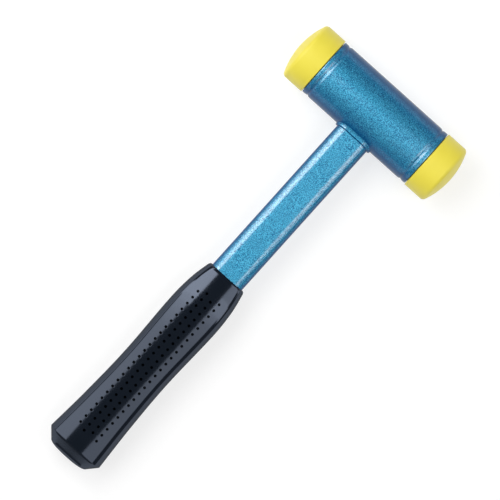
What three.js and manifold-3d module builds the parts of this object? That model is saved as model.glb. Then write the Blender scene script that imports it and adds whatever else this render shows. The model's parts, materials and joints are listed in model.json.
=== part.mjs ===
// Dead blow hammer lying on its side: a tubular steel head part-filled with loose steel shot, two
// pressed-in polymer striking faces, and a flat-oval steel handle in a dimpled rubber grip.
// Millimetres, +Z up. The head lies along X, and the handle runs from the head towards -Y.

import * as THREE from 'three';
import { mergeGeometries, mergeVertices } from 'three/addons/utils/BufferGeometryUtils.js';
import Module from 'manifold-3d';

const wasm = await Module();
wasm.setup();

// Clearance between pieces that fit together
const fitGap = 0.3;

// Head tube, with a rolled bead near each end
const headDiameter = 40;
const headWall = 2;
const headLength = 83.8;
const beadLand = 2.2;
const beadWidth = 5.4;
const beadDepth = 0.65;

// Striking faces: a domed cap outside the tube and a shank inside it
const faceOverhang = 0.4;
const faceLength = 19.3;
const faceEdgeRadius = 3;
const faceDomeRadius = 49;
const shankPastBead = 2.4;

// Steel discs between the shot and the shanks
const discThickness = 2;

// Loose shot, settled in the lower part of the lying head: lanes along it in nested rows
const shotDiameter = 9;
const shotPerLane = 5;
const lanesInRows = [2, 3, 2];

// Handle tube, painted between the collar and the grip and bare inside them
const handleWidth = 24;
const handleThickness = 17;
const handleCornerRadius = 5.8;
const handleWall = 1.5;
const paintThickness = 0.15;
const plugLength = 14;

// Collar round the handle where it enters the head: a straight neck, then a rounded lip
const collarWall = 1.4;
const collarHeight = 2.2;
const collarNeck = 0.5;
const lipEdge = 0.3;

// Grip: its top edge from the head's axis, the chamfer round that edge, then rubber over the handle's
// side and front at its rim, shoulder, swell, waist, hip and flare, with their distances along it
const gripTop = 134.8;
const rimChamfer = 0.9;
const rimSide = 1.5;
const rimFront = 1.6;
const shoulderAlong = 13;
const shoulderSide = 4.2;
const shoulderFront = 3.6;
const swellAlong = 30;
const swellSide = 5.4;
const swellFront = 4.5;
const waistAlong = 75;
const waistSide = 4.4;
const waistFront = 4.4;
const hipAlong = 110;
const hipSide = 5.55;
const hipFront = 4.8;
const flareAlong = 138.8;
const flareSide = 7.5;
const flareFront = 5.6;

// Grip section, and its butt below the flare, which the handle stops short of
const gripCrownRadius = 58;
const gripSideRadius = 24;
const gripCornerRadius = 4.6;
const buttChamferLength = 6.3;
const buttChamferDepth = 5.8;
const buttDomeHeight = 2.4;
const handleStop = 6;

// Dimples in four staggered rows on the grip's front and back
const dimpleDiameter = 2;
const dimpleDepth = 1.6;
const dimpleRows = 4;
const dimpleRowSpacing = 5;
const dimplePitch = 4.85;
const dimpleStart = 15.4;
const dimpleMargin = 10;

// Fineness of the facets
const roundSegments = 40;
const arcSteps = 4;
const beadSteps = 4;
const lipSteps = 3;
const gripSteps = 18;
const buttSteps = 3;
const dimpleSides = 6;
const shotDetail = 1;
const weldDistance = 1e-5;

// Sizes that follow from the ones above
const headRadius = headDiameter / 2;
const boreRadius = headRadius - headWall;
const headEnd = headLength / 2;
const beadCentre = headEnd - beadLand - beadWidth / 2;
const faceRadius = headRadius + faceOverhang;
const faceSeat = headEnd + fitGap;
const shankRadius = boreRadius - fitGap;
const shankEnd = beadCentre - beadWidth / 2 - shankPastBead;
const discOuter = shankEnd - fitGap;
const chamberEnd = discOuter - discThickness;
const handleEnd = gripTop + flareAlong - handleStop;
const collarSeat = headRadius + fitGap;
const collarReach = collarSeat + collarHeight;

// Finishes
const paint = { color: 0x49a1c7, roughness: 0.35, metalness: 0.6 };
const polymer = { color: 0xf0e25c, roughness: 0.45, metalness: 0 };
const rubber = { color: 0x1c1f24, roughness: 0.4, metalness: 0 };
const steel = { color: 0xa3a6a8, roughness: 0.3, metalness: 1 };
const plugPolymer = { color: 0x2b2d30, roughness: 0.6, metalness: 0 };

const hammer = new THREE.Group();

function addPiece(name, geometry, finish) {
  const mesh = new THREE.Mesh(geometry, new THREE.MeshStandardMaterial(finish));
  mesh.name = name;
  hammer.add(mesh);
  return mesh;
}

// A closed geometry as a solid that can be cut and joined
function toSolid(geometry) {
  const bare = new THREE.BufferGeometry();
  bare.setAttribute('position', geometry.getAttribute('position'));
  bare.setIndex(geometry.getIndex());
  const welded = mergeVertices(bare, weldDistance);
  const corners = welded.getIndex().array;
  const triangles = [];
  for (let i = 0; i < corners.length; i += 3) {
    const [a, b, c] = corners.slice(i, i + 3);
    if (a !== b && b !== c && c !== a) triangles.push(a, b, c);
  }
  return new wasm.Manifold(new wasm.Mesh({
    numProp: 3,
    vertProperties: welded.getAttribute('position').array,
    triVerts: new Uint32Array(triangles),
  }));
}

function toGeometry(solid) {
  const mesh = solid.getMesh();
  const geometry = new THREE.BufferGeometry();
  geometry.setAttribute('position', new THREE.BufferAttribute(mesh.vertProperties, 3));
  geometry.setIndex(new THREE.BufferAttribute(mesh.triVerts, 1));
  geometry.computeVertexNormals();
  return geometry;
}

// Points along arcs given as [centre x, centre y, radius, start angle, end angle], joined in order
function arcOutline(arcs) {
  const points = [];
  for (const arc of arcs) {
    for (const point of new THREE.ArcCurve(...arc).getPoints(arcSteps)) {
      if (!points.length || points.at(-1).distanceTo(point) > weldDistance) points.push(point);
    }
  }
  if (points.at(-1).distanceTo(points[0]) < weldDistance) points.pop();
  return points;
}

function roundedRectangle(width, thickness, cornerRadius) {
  const radius = Math.min(cornerRadius, width / 2, thickness / 2);
  const x = width / 2 - radius;
  const y = thickness / 2 - radius;
  const quarter = Math.PI / 2;
  return arcOutline([
    [x, y, radius, 0, quarter],
    [-x, y, radius, quarter, 2 * quarter],
    [-x, -y, radius, 2 * quarter, 3 * quarter],
    [x, -y, radius, 3 * quarter, 4 * quarter],
  ]);
}

// The bare handle's section made larger all round by an offset, or smaller by a negative one
function handleSection(offset) {
  const change = offset - paintThickness;
  return roundedRectangle(
    handleWidth + 2 * change, handleThickness + 2 * change, handleCornerRadius + change);
}

// A bar of the given section between two distances from the head's axis, along the handle
function handleBar(outline, from, to) {
  const bar = new THREE.ExtrudeGeometry(
    new THREE.Shape(outline), { depth: to - from, bevelEnabled: false });
  return toSolid(bar.rotateX(Math.PI / 2).translate(0, -from, 0));
}

// A cylinder along the head's axis that reaches past the handle on both sides
function headCylinder(radius) {
  const cylinder = new THREE.CylinderGeometry(radius, radius, headLength, roundSegments);
  return toSolid(cylinder.rotateZ(Math.PI / 2));
}

// A profile of (radius, place along the head) points turned about the head's axis
function turnedOnHead(points) {
  return new THREE.LatheGeometry(points, roundSegments).rotateZ(-Math.PI / 2);
}

// Radial depth of the rolled bead at a place along the head
function beadDepthAt(place) {
  const fromCentre = Math.abs(Math.abs(place) - beadCentre);
  if (fromCentre >= beadWidth / 2) return 0;
  return beadDepth * (1 + Math.cos(2 * Math.PI * fromCentre / beadWidth)) / 2;
}

// Places along the head where the bead's curve is drawn, from its outer side inwards
function beadPlaces(side) {
  const places = [];
  for (let i = 0; i <= beadSteps; i += 1) {
    places.push(side * (beadCentre + beadWidth / 2 - beadWidth * i / beadSteps));
  }
  return places;
}

// Head tube: both walls follow the rolled beads, and one side is open for the handle
const alongHead = [-headEnd, ...beadPlaces(-1), ...beadPlaces(1).reverse(), headEnd];
const outerWall = alongHead.map((place) => new THREE.Vector2(headRadius - beadDepthAt(place), place));
const innerWall = alongHead.map((place) => new THREE.Vector2(boreRadius - beadDepthAt(place), place));
const headProfile = [...outerWall, ...innerWall.reverse()];
headProfile.push(headProfile[0].clone());
const handleHole = handleBar(handleSection(fitGap), 0, headDiameter);
addPiece('head_tube', toGeometry(toSolid(turnedOnHead(headProfile)).subtract(handleHole)), paint);

// Striking face profile from the shank's inner end to the dome, with a groove for the rolled bead
const domeCentre = faceSeat + faceLength - faceDomeRadius;
const edgeCentreRadius = faceRadius - faceEdgeRadius;
const edgeCentre = domeCentre + Math.sqrt((faceDomeRadius - faceEdgeRadius) ** 2 - edgeCentreRadius ** 2);
const edgeAngle = Math.atan2(edgeCentre - domeCentre, edgeCentreRadius);
const faceProfile = [
  new THREE.Vector2(0, shankEnd),
  new THREE.Vector2(shankRadius, shankEnd),
  ...beadPlaces(1).reverse().map((place) => new THREE.Vector2(shankRadius - beadDepthAt(place), place)),
  new THREE.Vector2(shankRadius, faceSeat),
  new THREE.Vector2(faceRadius, faceSeat),
  ...arcOutline([
    [edgeCentreRadius, edgeCentre, faceEdgeRadius, 0, edgeAngle],
    [0, domeCentre, faceDomeRadius, edgeAngle, Math.PI / 2],
  ]),
];
faceProfile.at(-1).x = 0;
const discProfile = [
  new THREE.Vector2(0, chamberEnd),
  new THREE.Vector2(shankRadius, chamberEnd),
  new THREE.Vector2(shankRadius, discOuter),
  new THREE.Vector2(0, discOuter),
];
for (const [side, turn] of [['right', 0], ['left', Math.PI]]) {
  addPiece(`striking_face_${side}`, turnedOnHead(faceProfile).rotateZ(turn), polymer);
  addPiece(`impact_disc_${side}`, turnedOnHead(discProfile).rotateZ(turn), steel);
}

// Shot: the lowest row's lanes lie on the bore, and each row nests into the one below
const shotPitch = shotDiameter + fitGap;
const rowStep = shotPitch * Math.sin(Math.PI / 3);
const laneRadius = boreRadius - fitGap - shotDiameter / 2;
const lowestReach = shotPitch * (lanesInRows[0] - 1) / 2;
const lowestRow = -Math.sqrt(laneRadius ** 2 - lowestReach ** 2);
let shotNumber = 0;
lanesInRows.forEach((lanes, row) => {
  for (let lane = 0; lane < lanes; lane += 1) {
    const across = shotPitch * (lane - (lanes - 1) / 2);
    for (let i = 0; i < shotPerLane; i += 1) {
      shotNumber += 1;
      const name = `shot_${String(shotNumber).padStart(2, '0')}`;
      const ball = addPiece(name, new THREE.IcosahedronGeometry(shotDiameter / 2, shotDetail), steel);
      ball.position.set(shotPitch * (i - (shotPerLane - 1) / 2), across, lowestRow + row * rowStep);
    }
  }
});

// Handle tube and the plug in its top, both cut to the head's bore
const bore = headCylinder(boreRadius);
const paintedStretch = handleBar(handleSection(paintThickness), collarReach + fitGap, gripTop - fitGap);
const handleOutside = handleBar(handleSection(0), 0, handleEnd).add(paintedStretch);
const handleInside = handleBar(handleSection(-handleWall), -fitGap, handleEnd + fitGap);
addPiece('handle_tube', toGeometry(handleOutside.subtract(handleInside).subtract(bore)), paint);
const plugBar = handleBar(handleSection(-handleWall - fitGap), 0, boreRadius + plugLength);
addPiece('handle_plug', toGeometry(plugBar.subtract(bore)), plugPolymer);

// Collar: a ring round the handle that follows the head's curve, rounded towards its foot
const collarSlices = [];
for (let i = 0; i <= lipSteps; i += 1) {
  const turn = Math.PI / 2 * i / lipSteps;
  const wall = lipEdge + (collarWall - lipEdge) * Math.cos(turn);
  const reach = collarSeat + collarNeck + (collarHeight - collarNeck) * Math.sin(turn);
  const slice = handleBar(handleSection(fitGap + wall), 0, headDiameter);
  collarSlices.push(slice.intersect(headCylinder(reach)));
}
const collarInside = handleBar(handleSection(fitGap), -fitGap, headDiameter + fitGap);
const collarRing = wasm.Manifold.hull(collarSlices).subtract(collarInside);
addPiece('neck_collar', toGeometry(collarRing.subtract(headCylinder(collarSeat))), paint);

// Grip sections from its top edge to its butt: distance along, half width and half thickness
const handleHalfWidth = handleWidth / 2 + fitGap;
const handleHalfThickness = handleThickness / 2 + fitGap;
const knots = [
  [0, rimSide, rimFront],
  [shoulderAlong, shoulderSide, shoulderFront],
  [swellAlong, swellSide, swellFront],
  [waistAlong, waistSide, waistFront],
  [hipAlong, hipSide, hipFront],
  [flareAlong, flareSide, flareFront],
].map(([along, side, front]) => (
  new THREE.Vector3(handleHalfWidth + side, along, handleHalfThickness + front)));
const stations = new THREE.CatmullRomCurve3(knots).getPoints(gripSteps);
const rim = stations[0];
stations.unshift(new THREE.Vector3(rim.x - rimChamfer, 0, rim.z - rimChamfer));
rim.y = rimChamfer;
const flareSection = stations.at(-1);
for (let i = 0; i <= buttSteps; i += 1) {
  const turn = Math.PI / 2 * i / (buttSteps + 1);
  const along = flareAlong + buttChamferLength + buttDomeHeight * Math.sin(turn);
  stations.push(new THREE.Vector3(
    (flareSection.x - buttChamferDepth) * Math.cos(turn), along,
    (flareSection.z - buttChamferDepth) * Math.cos(turn)));
}

// Grip section at its flare: crowned front and back, barrel sides, and corners that blend the two
function gripSection(halfWidth, halfThickness) {
  const crownCentre = halfThickness - gripCrownRadius;
  const sideCentre = halfWidth - gripSideRadius;
  const toCrown = gripCrownRadius - gripCornerRadius;
  const toSide = gripSideRadius - gripCornerRadius;
  const apart = Math.hypot(sideCentre, crownCentre);
  const along = (apart ** 2 + toCrown ** 2 - toSide ** 2) / (2 * apart);
  const aside = Math.sqrt(toCrown ** 2 - along ** 2);
  const cornerX = (along * sideCentre - aside * crownCentre) / apart;
  const cornerY = crownCentre + (-along * crownCentre - aside * sideCentre) / apart;
  const sideAngle = Math.atan2(cornerY, cornerX - sideCentre);
  const crownAngle = Math.atan2(cornerY - crownCentre, cornerX);
  const half = Math.PI;
  return arcOutline([
    [sideCentre, 0, gripSideRadius, -sideAngle, sideAngle],
    [cornerX, cornerY, gripCornerRadius, sideAngle, crownAngle],
    [0, crownCentre, gripCrownRadius, crownAngle, half - crownAngle],
    [-cornerX, cornerY, gripCornerRadius, half - crownAngle, half - sideAngle],
    [-sideCentre, 0, gripSideRadius, half - sideAngle, half + sideAngle],
    [-cornerX, -cornerY, gripCornerRadius, half + sideAngle, half + crownAngle],
    [0, -crownCentre, gripCrownRadius, half + crownAngle, 2 * half - crownAngle],
    [cornerX, -cornerY, gripCornerRadius, 2 * half - crownAngle, 2 * half - sideAngle],
  ]);
}

// The flare's section run through all stations, scaled to each one's width and thickness
const lastStation = stations.length - 1;
const gripShape = new THREE.Shape(gripSection(flareSection.x, flareSection.z));
const gripBody = new THREE.ExtrudeGeometry(
  gripShape, { depth: lastStation, steps: lastStation, bevelEnabled: false });
const gripPoints = gripBody.getAttribute('position');
for (let i = 0; i < gripPoints.count; i += 1) {
  const station = stations[Math.round(gripPoints.getZ(i))];
  const across = gripPoints.getX(i) * station.x / flareSection.x;
  const up = gripPoints.getY(i) * station.z / flareSection.z;
  gripPoints.setXYZ(i, across, -gripTop - station.y, up);
}

// Half thickness of the grip at a distance along it and across it
function gripFrontAt(along, across) {
  const next = stations.findIndex((station) => station.y > along);
  const before = stations[next - 1];
  const share = (along - before.y) / (stations[next].y - before.y);
  const crown = before.z + (stations[next].z - before.z) * share;
  return crown - across ** 2 / (2 * gripCrownRadius);
}

// Every other row starts half a pitch later and holds one dimple fewer
const dimplesPerRow = Math.floor((flareAlong - dimpleStart - dimpleMargin) / dimplePitch) + 1;
const dimples = [];
for (let row = 0; row < dimpleRows; row += 1) {
  const across = (row - (dimpleRows - 1) / 2) * dimpleRowSpacing;
  const shifted = row % 2 === 0;
  const start = dimpleStart + (shifted ? dimplePitch / 2 : 0);
  const count = dimplesPerRow - (shifted ? 1 : 0);
  for (let i = 0; i < count; i += 1) {
    const along = start + i * dimplePitch;
    const surface = gripFrontAt(along, across);
    for (const face of [1, -1]) {
      const dimple = new THREE.CylinderGeometry(
        dimpleDiameter / 2, dimpleDiameter / 2, 2 * dimpleDepth, dimpleSides);
      dimples.push(dimple.rotateX(Math.PI / 2).translate(face * across, -gripTop - along, face * surface));
    }
  }
}
const gripBore = handleBar(handleSection(fitGap), gripTop - fitGap, handleEnd + fitGap);
const grip = toSolid(gripBody).subtract(gripBore).subtract(toSolid(mergeGeometries(dimples)));
addPiece('grip', toGeometry(grip), rubber);

// The hammer lies on its faces and on the flare of its grip, over the middle of its footprint
const flareDistance = gripTop + flareAlong;
hammer.rotation.x = Math.asin(faceRadius / Math.hypot(flareDistance, flareSection.z))
  - Math.atan2(flareSection.z, flareDistance);
const part = new THREE.Group();
part.add(hammer);
const footprint = new THREE.Box3().setFromObject(part, true);
const middle = footprint.getCenter(new THREE.Vector3());
hammer.position.set(-middle.x, -middle.y, -footprint.min.z);

export default part;
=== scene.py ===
import json
import math

import bmesh
import bpy
from mathutils import Matrix, Vector
from mathutils.geometry import intersect_sphere_sphere_2d


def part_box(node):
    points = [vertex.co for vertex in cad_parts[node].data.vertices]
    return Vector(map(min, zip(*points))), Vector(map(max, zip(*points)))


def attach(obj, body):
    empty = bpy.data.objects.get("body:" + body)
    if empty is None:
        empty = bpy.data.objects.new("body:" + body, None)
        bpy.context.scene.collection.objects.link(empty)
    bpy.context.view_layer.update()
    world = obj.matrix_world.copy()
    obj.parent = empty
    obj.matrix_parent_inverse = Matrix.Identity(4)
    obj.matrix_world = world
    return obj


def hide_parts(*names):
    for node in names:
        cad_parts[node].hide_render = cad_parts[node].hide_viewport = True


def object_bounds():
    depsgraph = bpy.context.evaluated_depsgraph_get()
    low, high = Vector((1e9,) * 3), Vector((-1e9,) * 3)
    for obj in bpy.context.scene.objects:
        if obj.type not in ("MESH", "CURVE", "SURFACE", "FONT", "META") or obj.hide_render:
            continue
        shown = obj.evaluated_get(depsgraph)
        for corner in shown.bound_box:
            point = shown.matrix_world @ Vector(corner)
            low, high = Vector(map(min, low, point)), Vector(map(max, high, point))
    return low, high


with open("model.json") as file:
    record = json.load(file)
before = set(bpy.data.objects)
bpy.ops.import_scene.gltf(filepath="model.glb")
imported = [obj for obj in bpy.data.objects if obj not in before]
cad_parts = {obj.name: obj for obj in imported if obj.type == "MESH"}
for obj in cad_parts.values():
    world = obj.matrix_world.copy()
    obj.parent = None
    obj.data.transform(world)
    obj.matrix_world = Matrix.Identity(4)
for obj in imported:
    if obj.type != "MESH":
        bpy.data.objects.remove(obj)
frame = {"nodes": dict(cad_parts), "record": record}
cadLow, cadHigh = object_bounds()
scene = bpy.context.scene
scene.view_settings.view_transform = "Standard"

# Pieces are modelled in millimetres round the head's centre, with the head along X and the handle
# towards -Y, and then laid down as the frame lies.
headLow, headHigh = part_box("head_tube")
headCentre = (headLow + headHigh) / 2
handleFront = next(m for m in frame["record"]["mounts"] if m["name"] == "handle_front")
lieTurn = Vector((0, 0, 1)).rotation_difference(Vector(handleFront["axis"]))
millimetre = 0.001
hammerPlace = Matrix.Translation(headCentre) @ lieTurn.to_matrix().to_4x4() @ Matrix.Scale(millimetre, 4)
print("frame loaded, head centre at", [round(v, 4) for v in headCentre])


class Wire:
    # One output socket of a node. Sums and products of wires add Math nodes.
    def __init__(self, tree, socket=None):
        self.tree = tree
        self.socket = socket

    def node(self, kind, settings=None, inputs=None, output=0):
        made = self.tree.nodes.new(kind)
        for name, value in (settings or {}).items():
            if name == "stops":  # places and colours of a ramp
                ramp = made.color_ramp
                while len(ramp.elements) < len(value):
                    ramp.elements.new(1.0)
                for element, (place, colour) in zip(ramp.elements, value):
                    element.position = place
                    element.color = (*colour, 1.0)
            else:
                setattr(made, name, value)
        for name, value in (inputs or {}).items():
            if isinstance(value, Wire):
                self.tree.links.new(value.socket, made.inputs[name])
            else:
                made.inputs[name].default_value = value
        return Wire(self.tree, made.outputs[output] if made.outputs else None)

    def maths(self, operation, first, second):
        return self.node("ShaderNodeMath", {"operation": operation}, {0: first, 1: second})

    def __add__(self, other):
        return self.maths("ADD", self, other)

    def __radd__(self, other):
        return self.maths("ADD", other, self)

    def __sub__(self, other):
        return self.maths("SUBTRACT", self, other)

    def __rsub__(self, other):
        return self.maths("SUBTRACT", other, self)

    def __mul__(self, other):
        return self.maths("MULTIPLY", self, other)

    def __rmul__(self, other):
        return self.maths("MULTIPLY", other, self)


def newMaterial(name):
    material = bpy.data.materials.new(name)
    material.use_nodes = True
    material.node_tree.nodes.clear()
    return material, Wire(material.node_tree)


def noiseOf(wire, place, grain, detail=2.0):
    # grain is the size of the pattern in millimetres
    return wire.node("ShaderNodeTexNoise", {}, {
        "Vector": place, "Scale": 1 / (grain * millimetre), "Detail": detail})


def dentsOf(wire, pattern, depth):
    # depth is in millimetres
    return wire.node("ShaderNodeBump", {}, {
        "Strength": 1.0, "Distance": depth * millimetre, "Height": pattern})


def blendOf(wire, share, first, second):
    # a Mix node takes its two colours at sockets 6 and 7, and gives the mixed one at its output 2
    return wire.node("ShaderNodeMix", {"data_type": "RGBA"}, {
        "Factor": share, 6: (*first, 1), 7: (*second, 1)}, output=2)


def spreadAbout(pattern, middle, spread):
    # a pattern from 0 to 1 turned into values on both sides of a middle
    return pattern * spread + (middle - spread / 2)


bluePaint = {
    "pigmentDark": (0.003, 0.060, 0.175),
    "pigmentLight": (0.006, 0.097, 0.252),
    "pigmentRoughness": 0.3,
    "flakeDark": (0.012, 0.352, 0.635),
    "flakeLight": (0.055, 0.595, 0.885),
    "flakeRoughness": 0.52,
    "flakeCover": 0.72,
    "flakeSpread": 3.2,       # how much the cover changes with the grain
    "glintColour": (0.95, 0.66, 0.45),
    "glintEdge": (0.2, 0.2, 0.2, 1.0),
    "glintRoughness": 0.22,
    "glintCover": 0.135,
    "glintSpread": 0.6,
    "glintLift": 0.05,        # mm, how far the glints stand out of true
    "flop": 2.0,              # flakes lie flat, so they show less at a slant
    "grain": 0.52,            # mm
    "cloud": 9.0,             # mm
    "cloudShare": 0.15,       # of the tone, the grain gives the rest
    "toneEnds": (0.4, 0.6),   # tones of the dark and the light colours
    "roughnessSpread": 0.2,
    "bumpHeight": 0.015,      # mm
    "coat": 0.55,
    "coatRoughness": 0.07,
}


def makeBluePaint():
    p = bluePaint
    clearCoat = {"Coat Weight": p["coat"], "Coat Roughness": p["coatRoughness"]}
    material, wire = newMaterial("bluePaint")
    place = wire.node("ShaderNodeTexCoord", output="Object")
    speckle = noiseOf(wire, place, p["grain"], 1.0)
    cloud = noiseOf(wire, place, p["cloud"])
    tone = speckle * (1 - p["cloudShare"]) + cloud * p["cloudShare"]
    toneDark, toneLight = p["toneEnds"]
    dents = dentsOf(wire, speckle, p["bumpHeight"])
    tilts = dentsOf(wire, speckle, p["glintLift"])
    facing = wire.node("ShaderNodeLayerWeight", {}, {"Blend": 0.5}, output="Facing")
    flat = 1.0 - facing * p["flop"]
    pigmentColour = wire.node("ShaderNodeValToRGB", {"stops": [
        (toneDark, p["pigmentDark"]), (toneLight, p["pigmentLight"])]}, {"Fac": tone})
    pigment = wire.node("ShaderNodeBsdfPrincipled", {}, {
        "Base Color": pigmentColour,
        "Roughness": spreadAbout(speckle, p["pigmentRoughness"], p["roughnessSpread"]),
        "Specular IOR Level": 0.0,
        "Normal": dents,
        **clearCoat,
    })
    flakeColour = wire.node("ShaderNodeValToRGB", {"stops": [
        (toneDark, p["flakeDark"]), (toneLight, p["flakeLight"])]}, {"Fac": tone})
    flakes = wire.node("ShaderNodeBsdfPrincipled", {}, {
        "Base Color": flakeColour,
        "Metallic": 1.0,
        "Roughness": spreadAbout(speckle, p["flakeRoughness"], p["roughnessSpread"]),
        "Normal": dents,
        **clearCoat,
    })
    glints = wire.node("ShaderNodeBsdfPrincipled", {}, {
        "Base Color": (*p["glintColour"], 1),
        "Metallic": 1.0,
        "Roughness": p["glintRoughness"],
        "Specular Tint": p["glintEdge"],
        "Normal": tilts,
        **clearCoat,
    })
    flakeShare = spreadAbout(speckle, p["flakeCover"], p["flakeSpread"]) * flat
    glintShare = spreadAbout(speckle, p["glintCover"], p["glintSpread"]) * flat * flat
    body = wire.node("ShaderNodeMixShader", {}, {0: flakeShare, 1: pigment, 2: flakes})
    shader = wire.node("ShaderNodeMixShader", {}, {0: glintShare, 1: body, 2: glints})
    wire.node("ShaderNodeOutputMaterial", {}, {"Surface": shader})
    return material


blackRubber = {
    "base": (0.0020, 0.0045, 0.0085),
    "worn": (0.0030, 0.0055, 0.0100),
    "grain": 0.5,             # mm
    "swell": 14.0,            # mm
    "roughness": 0.5,
    "bumpHeight": 0.002,      # mm
    "skinColour": (0.67, 0.775, 1.0),
    "skinRoughness": 0.09,
    "skinSpread": 0.04,       # of its roughness
    "skinShare": 0.075,
    "dimpleShare": 0.004,     # the dimples are dull inside
}


def makeBlackRubber(name, skinShare):
    material, wire = newMaterial(name)
    place = wire.node("ShaderNodeTexCoord", output="Object")
    grain = noiseOf(wire, place, blackRubber["grain"])
    swell = noiseOf(wire, place, blackRubber["swell"])
    dents = dentsOf(wire, grain, blackRubber["bumpHeight"])
    rubber = wire.node("ShaderNodeBsdfPrincipled", {}, {
        "Base Color": blendOf(wire, swell, blackRubber["base"], blackRubber["worn"]),
        "Roughness": blackRubber["roughness"],
        "Specular IOR Level": 0.0,
        "Normal": dents,
    })
    skin = wire.node("ShaderNodeBsdfPrincipled", {}, {
        "Base Color": (*blackRubber["skinColour"], 1),
        "Metallic": 1.0,
        "Roughness": spreadAbout(swell, blackRubber["skinRoughness"], blackRubber["skinSpread"]),
        "Normal": dents,
    })
    shader = wire.node("ShaderNodeMixShader", {}, {0: skinShare, 1: rubber, 2: skin})
    wire.node("ShaderNodeOutputMaterial", {}, {"Surface": shader})
    return material


yellowFace = {
    "base": (0.85, 0.735, 0.072),
    "other": (0.81, 0.685, 0.058),
    "metallic": 0.0,
    "cloud": 11.0,            # mm
    "cloudDetail": 3.0,
    "grain": 0.7,             # mm
    "roughness": 0.42,
    "roughnessSpread": 0.1,
    "bumpHeight": 0.01,       # mm
}

bareSteel = {
    "base": (0.42, 0.43, 0.45),
    "other": (0.30, 0.30, 0.31),
    "metallic": 1.0,
    "cloud": 2.5,             # mm
    "cloudDetail": 4.0,
    "grain": 0.3,             # mm
    "roughness": 0.3,
    "roughnessSpread": 0.2,
    "bumpHeight": 0.006,      # mm
}

plugPlastic = {
    "base": (0.020, 0.020, 0.022),
    "other": (0.030, 0.030, 0.033),
    "metallic": 0.0,
    "cloud": 0.4,             # mm
    "cloudDetail": 2.0,
    "grain": 0.4,             # mm
    "roughness": 0.5,
    "roughnessSpread": 0.2,
    "bumpHeight": 0.02,       # mm
}


def makeCloudy(name, look):
    # a material whose colour and roughness drift in soft clouds
    material, wire = newMaterial(name)
    place = wire.node("ShaderNodeTexCoord", output="Object")
    cloud = noiseOf(wire, place, look["cloud"], look["cloudDetail"])
    grain = noiseOf(wire, place, look["grain"])
    shader = wire.node("ShaderNodeBsdfPrincipled", {}, {
        "Base Color": blendOf(wire, cloud, look["base"], look["other"]),
        "Metallic": look["metallic"],
        "Roughness": spreadAbout(cloud, look["roughness"], look["roughnessSpread"]),
        "Normal": dentsOf(wire, grain, look["bumpHeight"]),
    })
    wire.node("ShaderNodeOutputMaterial", {}, {"Surface": shader})
    return material


paintMaterial = makeBluePaint()
rubberMaterial = makeBlackRubber("blackRubber", blackRubber["skinShare"])
dimpleMaterial = makeBlackRubber("dimpleRubber", blackRubber["dimpleShare"])
faceMaterial = makeCloudy("yellowFace", yellowFace)
steelMaterial = makeCloudy("bareSteel", bareSteel)
plugMaterial = makeCloudy("plugPlastic", plugPlastic)
print("materials made")

mergeDistance = 0.001         # mm


def drawTo(bm, pen, x, y):
    # a straight stretch of an outline in the XY plane
    pen = bmesh.ops.extrude_vert_indiv(bm, verts=[pen])["verts"][0]
    pen.co = (x, y, 0)
    return pen


def drawArc(bm, pen, x, y, degrees, steps):
    # a round stretch about (x, y), anticlockwise where degrees is above 0
    made = bmesh.ops.spin(bm, geom=[pen], cent=(x, y, 0), axis=(0, 0, 1), angle=math.radians(degrees),
                          steps=steps)
    return made["geom_last"][0]


def turnOnHead(bm, steps):
    # the whole outline turned round the head's axis
    outline = bm.verts[:] + bm.edges[:]
    bmesh.ops.spin(bm, geom=outline, cent=(0, 0, 0), axis=(1, 0, 0), angle=math.tau,
                   steps=steps, use_merge=True)


def drawSection(bm, halfWidth, halfThickness, cornerRadius, cornerSteps, sideCuts):
    # a rounded rectangle across the handle, as a closed loop of edges
    known = set(bm.edges)
    corners = [bm.verts.new((halfWidth * x, 0, halfThickness * z))
               for x, z in ((1, 1), (-1, 1), (-1, -1), (1, -1))]
    for first, second in zip(corners, corners[1:] + corners[:1]):
        bm.edges.new((first, second))
    bmesh.ops.bevel(bm, geom=corners, offset=cornerRadius, offset_type="OFFSET", segments=cornerSteps,
                    profile=0.5, affect="VERTICES", material=-1)
    straight = sorted((e for e in bm.edges if e not in known), key=lambda e: e.calc_length())[-4:]
    bmesh.ops.subdivide_edges(bm, edges=straight, cuts=sideCuts)
    return [e for e in bm.edges if e not in known]


def vertsOf(edges):
    return list({v for e in edges for v in e.verts})


def dressPiece(piece, material, body, nodes, smoothAngle=40):
    piece.data.materials.append(material)
    piece.data.shade_smooth()
    piece.data.set_sharp_from_angle(angle=math.radians(smoothAngle))
    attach(piece, body)
    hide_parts(*nodes)
    print("made", piece.name, "with", len(piece.data.polygons), "faces")


def toObject(name, bm):
    # merged, faced outwards and laid in its place in the frame
    bmesh.ops.remove_doubles(bm, verts=bm.verts, dist=mergeDistance)
    bmesh.ops.recalc_face_normals(bm, faces=bm.faces)
    bmesh.ops.transform(bm, matrix=hammerPlace, verts=bm.verts)
    mesh = bpy.data.meshes.new(name)
    bm.to_mesh(mesh)
    bm.free()
    piece = bpy.data.objects.new(name, mesh)
    scene.collection.objects.link(piece)
    return piece


handle = {
    "width": 24.0,            # mm
    "thickness": 17.0,
    "corner": 5.8,
    "wall": 1.5,
    "cornerSteps": 10,
    "sideCuts": 5,
    "end": 267.6,             # from the head's axis to its end in the grip
    "holeGap": 0.15,
}


def drawHandle(bm, offset, along):
    # the handle's section made larger by an offset, at a distance from the head's axis
    loop = drawSection(bm, handle["width"] / 2 + offset, handle["thickness"] / 2 + offset,
                       handle["corner"] + offset, handle["cornerSteps"], handle["sideCuts"])
    bmesh.ops.translate(bm, verts=vertsOf(loop), vec=(0, -along, 0))
    return loop


def drapeLoop(loop, reach, curve):
    # moves a loop along the handle onto a cylinder, with reach from the head's axis to its far side
    for vert in vertsOf(loop):
        vert.co.y = curve - reach - math.sqrt(curve ** 2 - vert.co.z ** 2)


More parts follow.
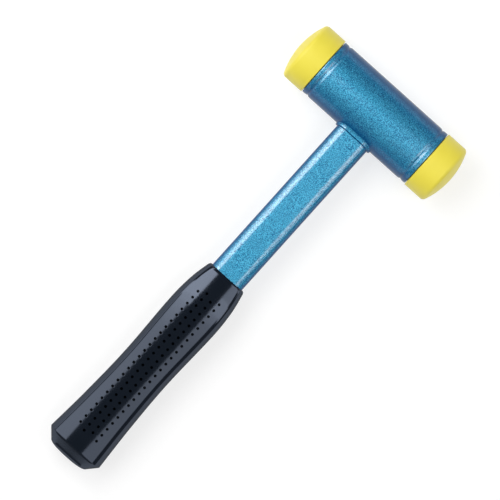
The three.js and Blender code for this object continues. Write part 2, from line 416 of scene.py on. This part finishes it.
headTube = {
    "radius": 20.0,           # mm
    "wall": 2.0,
    "halfLength": 41.9,
    "groovePlace": 38.0,      # from the middle of the head to the groove's floor
    "grooveDepth": 0.66,
    "innerSlope": 36.0,       # degrees
    "outerSlope": 30.0,
    "grooveFloor": 0.35,      # radius of the floor
    "landDrop": 0.16,         # the land outside the groove is this much smaller
    "endRound": 0.5,
    "grooveSteps": 8,
    "landSteps": 6,
    "endSteps": 4,
    "turnSteps": 128,
}


def makeHeadTube():
    t = headTube
    innerSlope, outerSlope = math.radians(t["innerSlope"]), math.radians(t["outerSlope"])
    landRadius = t["radius"] - t["landDrop"]
    floorRadius = t["radius"] - t["grooveDepth"]
    innerArc = t["grooveDepth"] / (1 - math.cos(innerSlope)) - t["grooveFloor"]
    outerArc = (t["grooveDepth"] - t["landDrop"]) / (1 - math.cos(outerSlope)) - t["grooveFloor"]
    innerEdge = t["groovePlace"] - (innerArc + t["grooveFloor"]) * math.sin(innerSlope)
    outerEdge = t["groovePlace"] + (outerArc + t["grooveFloor"]) * math.sin(outerSlope)
    end = t["halfLength"]
    bm = bmesh.new()
    pen = bm.verts.new((0, t["radius"], 0))
    pen = drawTo(bm, pen, innerEdge, t["radius"])
    pen = drawArc(bm, pen, innerEdge, t["radius"] - innerArc, -t["innerSlope"], t["grooveSteps"])
    pen = drawArc(bm, pen, t["groovePlace"], floorRadius + t["grooveFloor"],
                  t["innerSlope"] + t["outerSlope"], t["grooveSteps"])
    pen = drawArc(bm, pen, outerEdge, landRadius - outerArc, -t["outerSlope"], t["landSteps"])
    pen = drawTo(bm, pen, end - t["endRound"], landRadius)
    pen = drawArc(bm, pen, end - t["endRound"], landRadius - t["endRound"], -90, t["endSteps"])
    pen = drawTo(bm, pen, end, landRadius - t["wall"])
    pen = drawTo(bm, pen, outerEdge, landRadius - t["wall"])
    pen = drawTo(bm, pen, t["groovePlace"], floorRadius - t["wall"])
    pen = drawTo(bm, pen, innerEdge, t["radius"] - t["wall"])
    drawTo(bm, pen, 0, t["radius"] - t["wall"])
    bmesh.ops.mirror(bm, geom=bm.verts[:] + bm.edges[:], axis="X", merge_dist=mergeDistance)
    turnOnHead(bm, t["turnSteps"])
    piece = toObject("headTube", bm)
    # the hole that the handle enters through
    bm = bmesh.new()
    mouth = drawHandle(bm, handle["holeGap"], 0)
    foot = drawHandle(bm, handle["holeGap"], 2 * t["radius"])
    bmesh.ops.bridge_loops(bm, edges=mouth + foot)
    bmesh.ops.holes_fill(bm, edges=mouth + foot)
    cutter = toObject("handleHole", bm)
    cut = piece.modifiers.new("handleHole", "BOOLEAN")
    cut.operation = "DIFFERENCE"
    cut.solver = "EXACT"
    cut.object = cutter
    cutMesh = bpy.data.meshes.new_from_object(piece.evaluated_get(bpy.context.evaluated_depsgraph_get()))
    piece.modifiers.clear()
    piece.data = cutMesh
    bpy.data.objects.remove(cutter)
    dressPiece(piece, paintMaterial, "hammer", ["head_tube"])


strikingFace = {
    "radius": 20.38,          # mm
    "seat": 42.3,             # from the middle of the head
    "reach": 61.48,
    "seatRound": 0.3,
    "edgeRadius": 3.0,
    "domeRadius": 49.0,
    "shankRadius": 17.7,
    "shankEnd": 31.9,
    "shankGroove": (35.2, 38.0, 40.0),
    "grooveDepth": 0.65,
    "seatSteps": 4,
    "edgeSteps": 10,
    "domeSteps": 16,
    "turnSteps": 128,
}


def makeStrikingFace(name, side, node):
    f = strikingFace
    domeMiddle = f["reach"] - f["domeRadius"]
    edgeY = f["radius"] - f["edgeRadius"]
    edgeX = domeMiddle + math.sqrt((f["domeRadius"] - f["edgeRadius"]) ** 2 - edgeY ** 2)
    domeSpread = math.degrees(math.atan2(edgeY, edgeX - domeMiddle))
    grooveIn, grooveFloor, grooveOut = f["shankGroove"]
    bm = bmesh.new()
    pen = bm.verts.new((f["shankEnd"], 0, 0))
    pen = drawTo(bm, pen, f["shankEnd"], f["shankRadius"])
    pen = drawTo(bm, pen, grooveIn, f["shankRadius"])
    pen = drawTo(bm, pen, grooveFloor, f["shankRadius"] - f["grooveDepth"])
    pen = drawTo(bm, pen, grooveOut, f["shankRadius"])
    pen = drawTo(bm, pen, f["seat"], f["shankRadius"])
    pen = drawTo(bm, pen, f["seat"], f["radius"] - f["seatRound"])
    pen = drawArc(bm, pen, f["seat"] + f["seatRound"], f["radius"] - f["seatRound"], -90, f["seatSteps"])
    pen = drawTo(bm, pen, edgeX, f["radius"])
    pen = drawArc(bm, pen, edgeX, edgeY, domeSpread - 90, f["edgeSteps"])
    drawArc(bm, pen, domeMiddle, 0, -domeSpread, f["domeSteps"])
    turnOnHead(bm, f["turnSteps"])
    bmesh.ops.scale(bm, vec=(side, 1, 1), verts=bm.verts)
    dressPiece(toObject(name, bm), faceMaterial, "hammer", [node])


neckCollar = {
    "headRadius": 19.95,      # mm
    "crownCurve": 30.0,       # the bead bends less than the head does, so it is thicker at front and back
    "fillet": 0.9,            # width of the hollow between head and bead
    "rise": 0.45,             # of the hollow at the sides
    "land": 0.5,              # flat crown of the bead
    "bulge": 1.5,             # out from the handle
    "height": 0.5,            # of the rounded lip, along the handle
    "gap": 0.1,
    "steps": 6,
    "smoothAngle": 60,
}


def makeNeckCollar():
    c = neckCollar
    bm = bmesh.new()
    outline = [(c["gap"], c["headRadius"], c["headRadius"])]  # offset from the handle, reach and curve
    for i in range(c["steps"] + 1):
        turn = math.pi / 2 * i / c["steps"]
        share = 1 - math.cos(turn)
        outline.append((c["bulge"] + c["fillet"] * (1 - math.sin(turn)),
                        c["headRadius"] + c["rise"] * share,
                        c["headRadius"] + (c["crownCurve"] - c["headRadius"]) * share))
    lipStart = c["headRadius"] + c["rise"] + c["land"]
    for i in range(c["steps"] + 1):
        turn = math.pi / 2 * i / c["steps"]
        outline.append((c["gap"] + (c["bulge"] - c["gap"]) * math.cos(turn),
                        lipStart + c["height"] * math.sin(turn), c["crownCurve"]))
    loops = []
    for offset, reach, curve in outline:
        loop = drawHandle(bm, offset, 0)
        drapeLoop(loop, reach, curve)
        loops.append(loop)
    for upper, lower in zip(loops, loops[1:] + loops[:1]):
        bmesh.ops.bridge_loops(bm, edges=upper + lower)
    dressPiece(toObject("neckCollar", bm), paintMaterial, "hammer", ["neck_collar"],
               c["smoothAngle"])


def makeHandleTube():
    bm = bmesh.new()
    boreRadius = headTube["radius"] - headTube["wall"]
    loops = []
    wall, end = handle["wall"], handle["end"]
    for offset, along in ((0, 0), (0, end), (-wall, end), (-wall, 0)):
        loop = drawHandle(bm, offset, along)
        if along == 0:
            drapeLoop(loop, boreRadius, boreRadius)
        loops.append(loop)
    for first, second in zip(loops, loops[1:] + loops[:1]):
        bmesh.ops.bridge_loops(bm, edges=first + second)
    dressPiece(toObject("handleTube", bm), paintMaterial, "hammer", ["handle_tube"])


handlePlug = {
    "gap": 0.3,               # mm
    "length": 14.0,
    "edgeRound": 0.8,
}


def makeHandlePlug():
    bm = bmesh.new()
    boreRadius = headTube["radius"] - headTube["wall"]
    inset = -handle["wall"] - handlePlug["gap"]
    top = drawHandle(bm, inset, 0)
    drapeLoop(top, boreRadius, boreRadius)
    waist = drawHandle(bm, inset, boreRadius + handlePlug["length"] - handlePlug["edgeRound"])
    foot = drawHandle(bm, inset - handlePlug["edgeRound"], boreRadius + handlePlug["length"])
    bmesh.ops.bridge_loops(bm, edges=top + waist)
    bmesh.ops.bridge_loops(bm, edges=waist + foot)
    bmesh.ops.holes_fill(bm, edges=top + foot)
    dressPiece(toObject("handlePlug", bm), plugMaterial, "hammer", ["handle_plug"])


impactDisc = {
    "radius": 17.7,           # mm
    "near": 29.6,             # from the middle of the head
    "far": 31.6,
    "edgeRound": 0.4,
    "edgeSteps": 3,
    "turnSteps": 96,
}


def makeImpactDisc(name, side, node):
    d = impactDisc
    bm = bmesh.new()
    pen = bm.verts.new((d["near"], 0, 0))
    pen = drawTo(bm, pen, d["near"], d["radius"] - d["edgeRound"])
    pen = drawArc(bm, pen, d["near"] + d["edgeRound"], d["radius"] - d["edgeRound"], -90, d["edgeSteps"])
    pen = drawTo(bm, pen, d["far"] - d["edgeRound"], d["radius"])
    pen = drawArc(bm, pen, d["far"] - d["edgeRound"], d["radius"] - d["edgeRound"], -90, d["edgeSteps"])
    drawTo(bm, pen, d["far"], 0)
    turnOnHead(bm, d["turnSteps"])
    bmesh.ops.scale(bm, vec=(side, 1, 1), verts=bm.verts)
    dressPiece(toObject(name, bm), steelMaterial, "hammer", [node])


def makeShot(node):
    # a steel ball in the box of each shot node
    low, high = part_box(node)
    bm = bmesh.new()
    bmesh.ops.create_icosphere(bm, subdivisions=3, radius=(high.x - low.x) / 2)
    bmesh.ops.translate(bm, vec=(low + high) / 2, verts=bm.verts)
    mesh = bpy.data.meshes.new(node)
    bm.to_mesh(mesh)
    bm.free()
    ball = bpy.data.objects.new(node.replace("shot_", "shotBall"), mesh)
    scene.collection.objects.link(ball)
    dressPiece(ball, steelMaterial, "shot", [node], smoothAngle=180)


grip = {
    "top": 134.8,             # mm from the head's axis
    "knots": [                # along the grip from its top: half width and half thickness
        (0.0, 13.8, 10.4), (13.0, 16.5, 12.4), (30.0, 17.7, 13.3),
        (75.0, 16.7, 13.2), (110.0, 17.85, 13.6), (138.8, 19.8, 14.4)],
    "crown": 58.0,            # radii of front and back, sides and corners
    "side": 24.0,
    "corner": 4.6,
    "cornerSteps": 7,
    "sideShares": (0.6, 0.2),            # points on the side, between the corner and the middle
    "boreGap": 0.25,
    "boreCurve": 400.0,                  # nearly flat
    "lipCurves": (300.0, 200.0),
    "lipOpen": 0.2,                      # the bore opens by this much at the rim
    "lipSharpen": 0.6,
    "rimRound": 1.1,
    "rimSupport": 0.25,                  # share of the rim's round
    "rimDegrees": (0, 30, 60),
    "topShares": (0.2, 0.36, 0.52, 0.68, 0.84),    # rings between rim and dimples
    "tailShares": (0.33, 0.67, 1.0),     # rings between dimples and flare
    "chamferLength": 6.3,
    "chamferDepth": 5.8,
    "chamferShares": (0.08, 0.92, 1.0),
    "domeHeight": 2.2,
    "domeDegrees": (8, 30, 50, 68, 80),
    "edgeSupport": 0.5,
    "dimpleRows": (-7.5, -2.5, 2.5, 7.5),
    "dimplesPerRow": 24,
    "dimpleStart": 15.4,
    "dimplePitch": 4.85,
    "dimpleCell": 2.5,
    "cellColumns": 4,                    # on each side of the middle
    "cellRoom": 4.2,                     # cells that have to fit in half a narrow crown
    "cellInset": 0.1,
    "dimpleRadius": 1.02,
    "dimpleSteps": ((0.12, 0.99), (2.48, 0.95)),   # depth of each step and what it narrows to
    "nearStep": 0.1,                     # how far a cell may be from a dimple's place
    "nearRow": 0.2,
    "smoothAngle": 80,
}


def gripSize(along):
    # half width and half thickness on a smooth curve through the knots
    knots = grip["knots"]
    i = sum(along > knot[0] for knot in knots[1:-1])
    span = knots[i + 1][0] - knots[i][0]
    t = (along - knots[i][0]) / span
    sizes = []
    for part in (1, 2):
        ends = []
        for k in (i, i + 1):
            before, after = knots[max(k - 1, 0)], knots[min(k + 1, len(knots) - 1)]
            ends.append((knots[k][part], span * (after[part] - before[part]) / (after[0] - before[0])))
        (a, slopeA), (b, slopeB) = ends
        sizes.append(a + t * slopeA + t * t * (3 * (b - a) - 2 * slopeA - slopeB)
                     + t ** 3 * (2 * (a - b) + slopeA + slopeB))
    return sizes


def gripSection(halfWidth, halfThickness, crown, side, corner):
    # points of a crowned section, from the middle of its front to its side, then mirrored
    crownMiddle = Vector((0, halfThickness - crown))
    sideMiddle = Vector((halfWidth - side, 0))
    meeting = intersect_sphere_sphere_2d(crownMiddle, crown - corner, sideMiddle, side - corner)
    cornerMiddle = max(meeting, key=lambda p: p.x + p.y)
    crownEnd = (cornerMiddle - crownMiddle).normalized()
    sideEnd = (cornerMiddle - sideMiddle).normalized()
    crownReach = (crownMiddle + crownEnd * crown).x
    cell = min(grip["dimpleCell"], crownReach / grip["cellRoom"])
    columns = [cell * (k + 0.5) for k in range(grip["cellColumns"])]
    columns.append((columns[-1] + crownReach) / 2)
    quarter = [(x, crownMiddle.y + math.sqrt(crown ** 2 - x ** 2)) for x in columns]
    first, last = math.atan2(crownEnd.y, crownEnd.x), math.atan2(sideEnd.y, sideEnd.x)
    for k in range(grip["cornerSteps"]):
        turn = first + (last - first) * k / (grip["cornerSteps"] - 1)
        quarter.append((cornerMiddle.x + corner * math.cos(turn),
                        cornerMiddle.y + corner * math.sin(turn)))
    for share in grip["sideShares"]:
        quarter.append((sideMiddle.x + side * math.cos(last * share), side * math.sin(last * share)))
    right = quarter + [(x, -z) for x, z in reversed(quarter)]
    return right + [(-x, z) for x, z in reversed(right)]


def drawRing(bm, along, points):
    verts = [bm.verts.new((x, -grip["top"] - along, z)) for x, z in points]
    return [bm.edges.new((a, b)) for a, b in zip(verts, verts[1:] + verts[:1])]


def makeGrip():
    g = grip
    bm = bmesh.new()
    crease = bm.edges.layers.float.new("crease_edge")
    outer = (g["crown"], g["side"], g["corner"])
    flareAlong = g["knots"][-1][0]
    flareWidth, flareThickness = gripSize(flareAlong)
    boreWidth = handle["width"] / 2 + g["boreGap"]
    boreThickness = handle["thickness"] / 2 + g["boreGap"]
    bore = gripSection(boreWidth, boreThickness, g["boreCurve"], g["boreCurve"], handle["corner"])
    lip = gripSection(boreWidth + g["lipOpen"], boreThickness + g["lipOpen"], *g["lipCurves"],
                      handle["corner"] - g["lipSharpen"])
    handleRoom = handle["end"] - g["top"] + g["boreGap"]
    rings = [drawRing(bm, handleRoom, bore), drawRing(bm, g["rimRound"], bore),
             drawRing(bm, g["rimSupport"] * g["rimRound"], bore), drawRing(bm, 0, lip)]
    rimWidth, rimThickness = gripSize(0)
    for degrees in g["rimDegrees"]:
        turn = math.radians(degrees)
        inset = g["rimRound"] * (1 - math.sin(turn))
        rings.append(drawRing(bm, g["rimRound"] * (1 - math.cos(turn)),
                              gripSection(rimWidth - inset, rimThickness - inset, *outer)))
    # rows of cells: one cell row for each half pitch of the dimples
    halfPitch = g["dimplePitch"] / 2
    firstCell = g["dimpleStart"] - halfPitch / 2
    cellRows = 2 * g["dimplesPerRow"] - 1
    places = [g["rimRound"]]
    places += [firstCell * share for share in g["topShares"]]
    places += [firstCell + halfPitch * k for k in range(cellRows + 1)]
    room = flareAlong - g["edgeSupport"] - places[-1]
    places += [places[-1] + room * share for share in g["tailShares"]]
    places.append(flareAlong)
    for along in places:
        rings.append(drawRing(bm, along, gripSection(*gripSize(along), *outer)))
    # chamfered butt with a low dome
    for share in g["chamferShares"]:
        depth = g["chamferDepth"] * share
        section = gripSection(flareWidth - depth, flareThickness - depth, *outer)
        rings.append(drawRing(bm, flareAlong + g["chamferLength"] * share, section))
    for degrees in g["domeDegrees"]:
        turn = math.radians(degrees)
        shrink = math.cos(turn)
        points = [(x * shrink, z * shrink) for x, z in section]
        along = flareAlong + g["chamferLength"] + g["domeHeight"] * math.sin(turn)
        rings.append(drawRing(bm, along, points))
    for upper, lower in zip(rings, rings[1:]):
        bmesh.ops.bridge_loops(bm, edges=upper + lower)
    bmesh.ops.holes_fill(bm, edges=rings[0] + rings[-1])
    bmesh.ops.recalc_face_normals(bm, faces=bm.faces)
    # dimples on front and back, each in the middle of a cell
    cells = []
    for face in bm.faces:
        middle = face.calc_center_median()
        step = (-middle.y - g["top"] - g["dimpleStart"]) / halfPitch
        inside = abs(middle.z) < flareThickness / 2
        if inside or abs(step - round(step)) > g["nearStep"] or not 0 <= round(step) < cellRows:
            continue
        across = math.copysign(1, middle.z) * middle.x
        for row, place in enumerate(g["dimpleRows"]):
            if abs(across - place) < g["nearRow"] and (round(step) + row) % 2 == 1:
                cells.append(face)
    bmesh.ops.inset_individual(bm, faces=cells, thickness=g["cellInset"], use_even_offset=True)
    bmesh.ops.subdivide_edges(bm, edges=list({e for f in cells for e in f.edges}), cuts=1)
    for cell in cells:
        middle = cell.calc_center_median()
        for vert in cell.verts:
            # a round rim that follows the crown
            reach = (vert.co - middle).normalized() * g["dimpleRadius"]
            vert.co = middle + reach - cell.normal * reach.x ** 2 / (2 * g["crown"])
        cell.material_index = 1
        for edge in cell.edges:
            edge[crease] = 1.0
    for sink, shrink in g["dimpleSteps"]:
        cells = bmesh.ops.extrude_discrete_faces(bm, faces=cells)["faces"]
        for cell in cells:
            middle = cell.calc_center_median()
            narrow = Matrix.Scale(shrink, 4) @ Matrix.Translation(-middle)
            move = Matrix.Translation(middle - cell.normal * sink) @ narrow
            bmesh.ops.transform(bm, matrix=move, verts=cell.verts)
    print("dimples", len(cells))
    piece = toObject("rubberGrip", bm)
    smooth = piece.modifiers.new("smooth", "SUBSURF")
    smooth.levels = 1
    smooth.render_levels = 1
    dressPiece(piece, rubberMaterial, "hammer", ["grip"], g["smoothAngle"])
    piece.data.materials.append(dimpleMaterial)


makeHeadTube()
for sideName, side in (("Left", -1), ("Right", 1)):
    makeStrikingFace("strikingFace" + sideName, side, "striking_face_" + sideName.lower())
    makeImpactDisc("impactDisc" + sideName, side, "impact_disc_" + sideName.lower())
makeNeckCollar()
makeHandleTube()
makeHandlePlug()
for node in sorted(n for n in frame["nodes"] if n.startswith("shot_")):
    makeShot(node)
makeGrip()


floorLook = {
    "size": 12.0,             # m
    "drop": 0.0002,           # m under the hammer
    "colour": (0.85, 0.85, 0.85),
    "seenColour": (0.38, 0.38, 0.38),
    "lift": 0.68,             # added where it is seen, so that the floor reads as white
}


def makeFloor():
    bm = bmesh.new()
    bmesh.ops.create_grid(bm, x_segments=4, y_segments=4, size=floorLook["size"] / 2)
    bmesh.ops.translate(bm, vec=(0, 0, cadLow.z - floorLook["drop"]), verts=bm.verts)
    mesh = bpy.data.meshes.new("floor")
    bm.to_mesh(mesh)
    bm.free()
    floor = bpy.data.objects.new("floor", mesh)
    scene.collection.objects.link(floor)
    material, wire = newMaterial("paleFloor")
    seen = wire.node("ShaderNodeLightPath", output="Is Camera Ray")
    for name in ("Is Glossy Ray", "Is Transmission Ray"):
        seen = seen + wire.node("ShaderNodeLightPath", output=name)
    colour = blendOf(wire, seen, floorLook["colour"], floorLook["seenColour"])
    diffuse = wire.node("ShaderNodeBsdfDiffuse", {}, {"Color": colour})
    glow = wire.node("ShaderNodeEmission", {}, {"Color": seen * floorLook["lift"], "Strength": 1.0})
    both = wire.node("ShaderNodeAddShader", {}, {0: diffuse, 1: glow})
    wire.node("ShaderNodeOutputMaterial", {}, {"Surface": both})
    mesh.materials.append(material)


skyLook = {
    "stops": [                # height above the horizon as a share, and brightness
        (0.0, 0.2), (0.5, 0.12), (1.0, 0.10)],
}


def makeSky():
    world = bpy.data.worlds.new("studio")
    world.use_nodes = True
    world.node_tree.nodes.clear()
    scene.world = world
    wire = Wire(world.node_tree)
    direction = wire.node("ShaderNodeTexCoord", output="Generated")
    height = wire.node("ShaderNodeSeparateXYZ", {}, {"Vector": direction}, output="Z")
    stops = [(place, (level, level, level)) for place, level in skyLook["stops"]]
    grey = wire.node("ShaderNodeValToRGB", {"stops": stops}, {"Fac": height})
    glow = wire.node("ShaderNodeBackground", {}, {"Color": grey, "Strength": 1.0})
    wire.node("ShaderNodeOutputWorld", {}, {"Surface": glow})


# Panels beside the hammer. The edges nearest to and farthest from the camera's line are in degrees off
# it, seen from the head, with their distance in metres. The stretches along the handle, from the
# head's place, each have their own brightness.
softboxes = {
    "leftHot": {"side": -1, "near": (11.5, 0.76), "far": (58, 0.9), "stretches": [(-0.13, 0.14, 3.75)]},
    "leftSide": {"side": -1, "near": (58.3, 0.9), "far": (82, 1.1), "stretches": [(-0.14, -0.01, 3.5)]},
    "leftRim": {"side": -1, "near": (12, 0.77), "far": (58, 0.9), "stretches": [(-0.175, -0.13, 3.2)]},
    "leftGrip": {"side": -1, "near": (14.5, 0.775), "far": (58, 0.9), "stretches": [
        (-0.75, -0.23, 1.85), (-0.23, -0.205, 2.3), (-0.205, -0.175, 2.7)]},
    "leftLow": {"side": -1, "near": (72, 0.95), "far": (86, 1.1), "stretches": [(-0.6, -0.14, 1.5)]},
    "leftBack": {"side": -1, "near": (24, 0.79), "far": (46, 0.86), "stretches": [(0.14, 0.55, 2.7)]},
    "leftFar": {"side": -1, "near": (28, 0.8), "far": (36, 0.83), "stretches": [(0.55, 1.4, 2.4)]},
    "leftFront": {"side": -1, "near": (20, 0.78), "far": (60, 0.92), "stretches": [(-1.5, -0.75, 0.8)]},
    "rightHot": {"side": 1, "near": (12, 0.76), "far": (40, 0.86), "stretches": [(-0.13, 0.0, 2.4)]},
    "rightSide": {"side": 1, "near": (40.3, 0.86), "far": (60, 0.96), "stretches": [(-0.13, 0.0, 2.2)]},
    "rightGrip": {"side": 1, "near": (12, 0.77), "far": (32, 0.86), "stretches": [
        (-0.75, -0.225, 1.2), (-0.225, -0.175, 1.4), (-0.175, -0.13, 1.8)]},
    "rightBack": {"side": 1, "near": (12, 0.76), "far": (42, 0.86), "stretches": [(0.0, 0.5, 1.9)]},
    "rightFar": {"side": 1, "near": (22, 0.79), "far": (30, 0.81), "stretches": [(0.5, 1.4, 1.7)]},
    "rightFront": {"side": 1, "near": (20, 0.78), "far": (60, 0.92), "stretches": [(-1.5, -0.75, 0.8)]},
    "rightLow": {"side": 1, "near": (50, 0.95), "far": (82, 1.1), "stretches": [(0.2, 0.7, 1.6)]},
}


def makeSoftbox(name, side, near, far, stretches):
    edges = []
    for degrees, distance in (near, far):
        turn = math.radians(degrees)
        edges.append(Vector((side * math.sin(turn), 0, math.cos(turn))) * distance)
    across = (edges[1] - edges[0]) * side
    xAxis = across.normalized()
    yAxis = Vector((0, 1, 0))
    turn = Matrix((xAxis, yAxis, xAxis.cross(yAxis))).transposed().to_4x4()  # shines along its -Z
    for number, (start, end, radiance) in enumerate(stretches):
        lamp = bpy.data.lights.new(name + str(number), "AREA")
        lamp.shape = "RECTANGLE"
        lamp.size = across.length
        lamp.size_y = end - start
        lamp.energy = radiance * math.pi * lamp.size * lamp.size_y
        panel = bpy.data.objects.new(lamp.name, lamp)
        middle = headCentre + (edges[0] + edges[1]) / 2 + Vector((0, (start + end) / 2, 0))
        panel.matrix_world = Matrix.Translation(middle) @ turn
        panel.visible_camera = False
        scene.collection.objects.link(panel)


cameraLook = {
    "aim": (-0.77, -113.1),   # mm from the head's centre
    "roll": 48.05,            # degrees from the handle to the picture's side
    "distance": 4.0,          # m
    "lens": 472.6,
    "sensor": 36.0,
}


def makeCamera():
    c = cameraLook
    data = bpy.data.cameras.new("camera")
    data.lens = c["lens"]
    data.sensor_width = c["sensor"]
    camera = bpy.data.objects.new("camera", data)
    roll = math.radians(c["roll"])
    right = Vector((math.sin(roll), math.cos(roll), 0))
    up = Vector((-math.cos(roll), math.sin(roll), 0))
    turn = Matrix((right, up, Vector((0, 0, 1)))).transposed().to_4x4()
    aim = headCentre + Vector((*c["aim"], 0)) * millimetre
    camera.matrix_world = Matrix.Translation(aim + Vector((0, 0, c["distance"]))) @ turn
    scene.collection.objects.link(camera)
    scene.camera = camera


makeFloor()
makeSky()
for name, panel in softboxes.items():
    makeSoftbox(name, **panel)
makeCamera()
print("stage made")
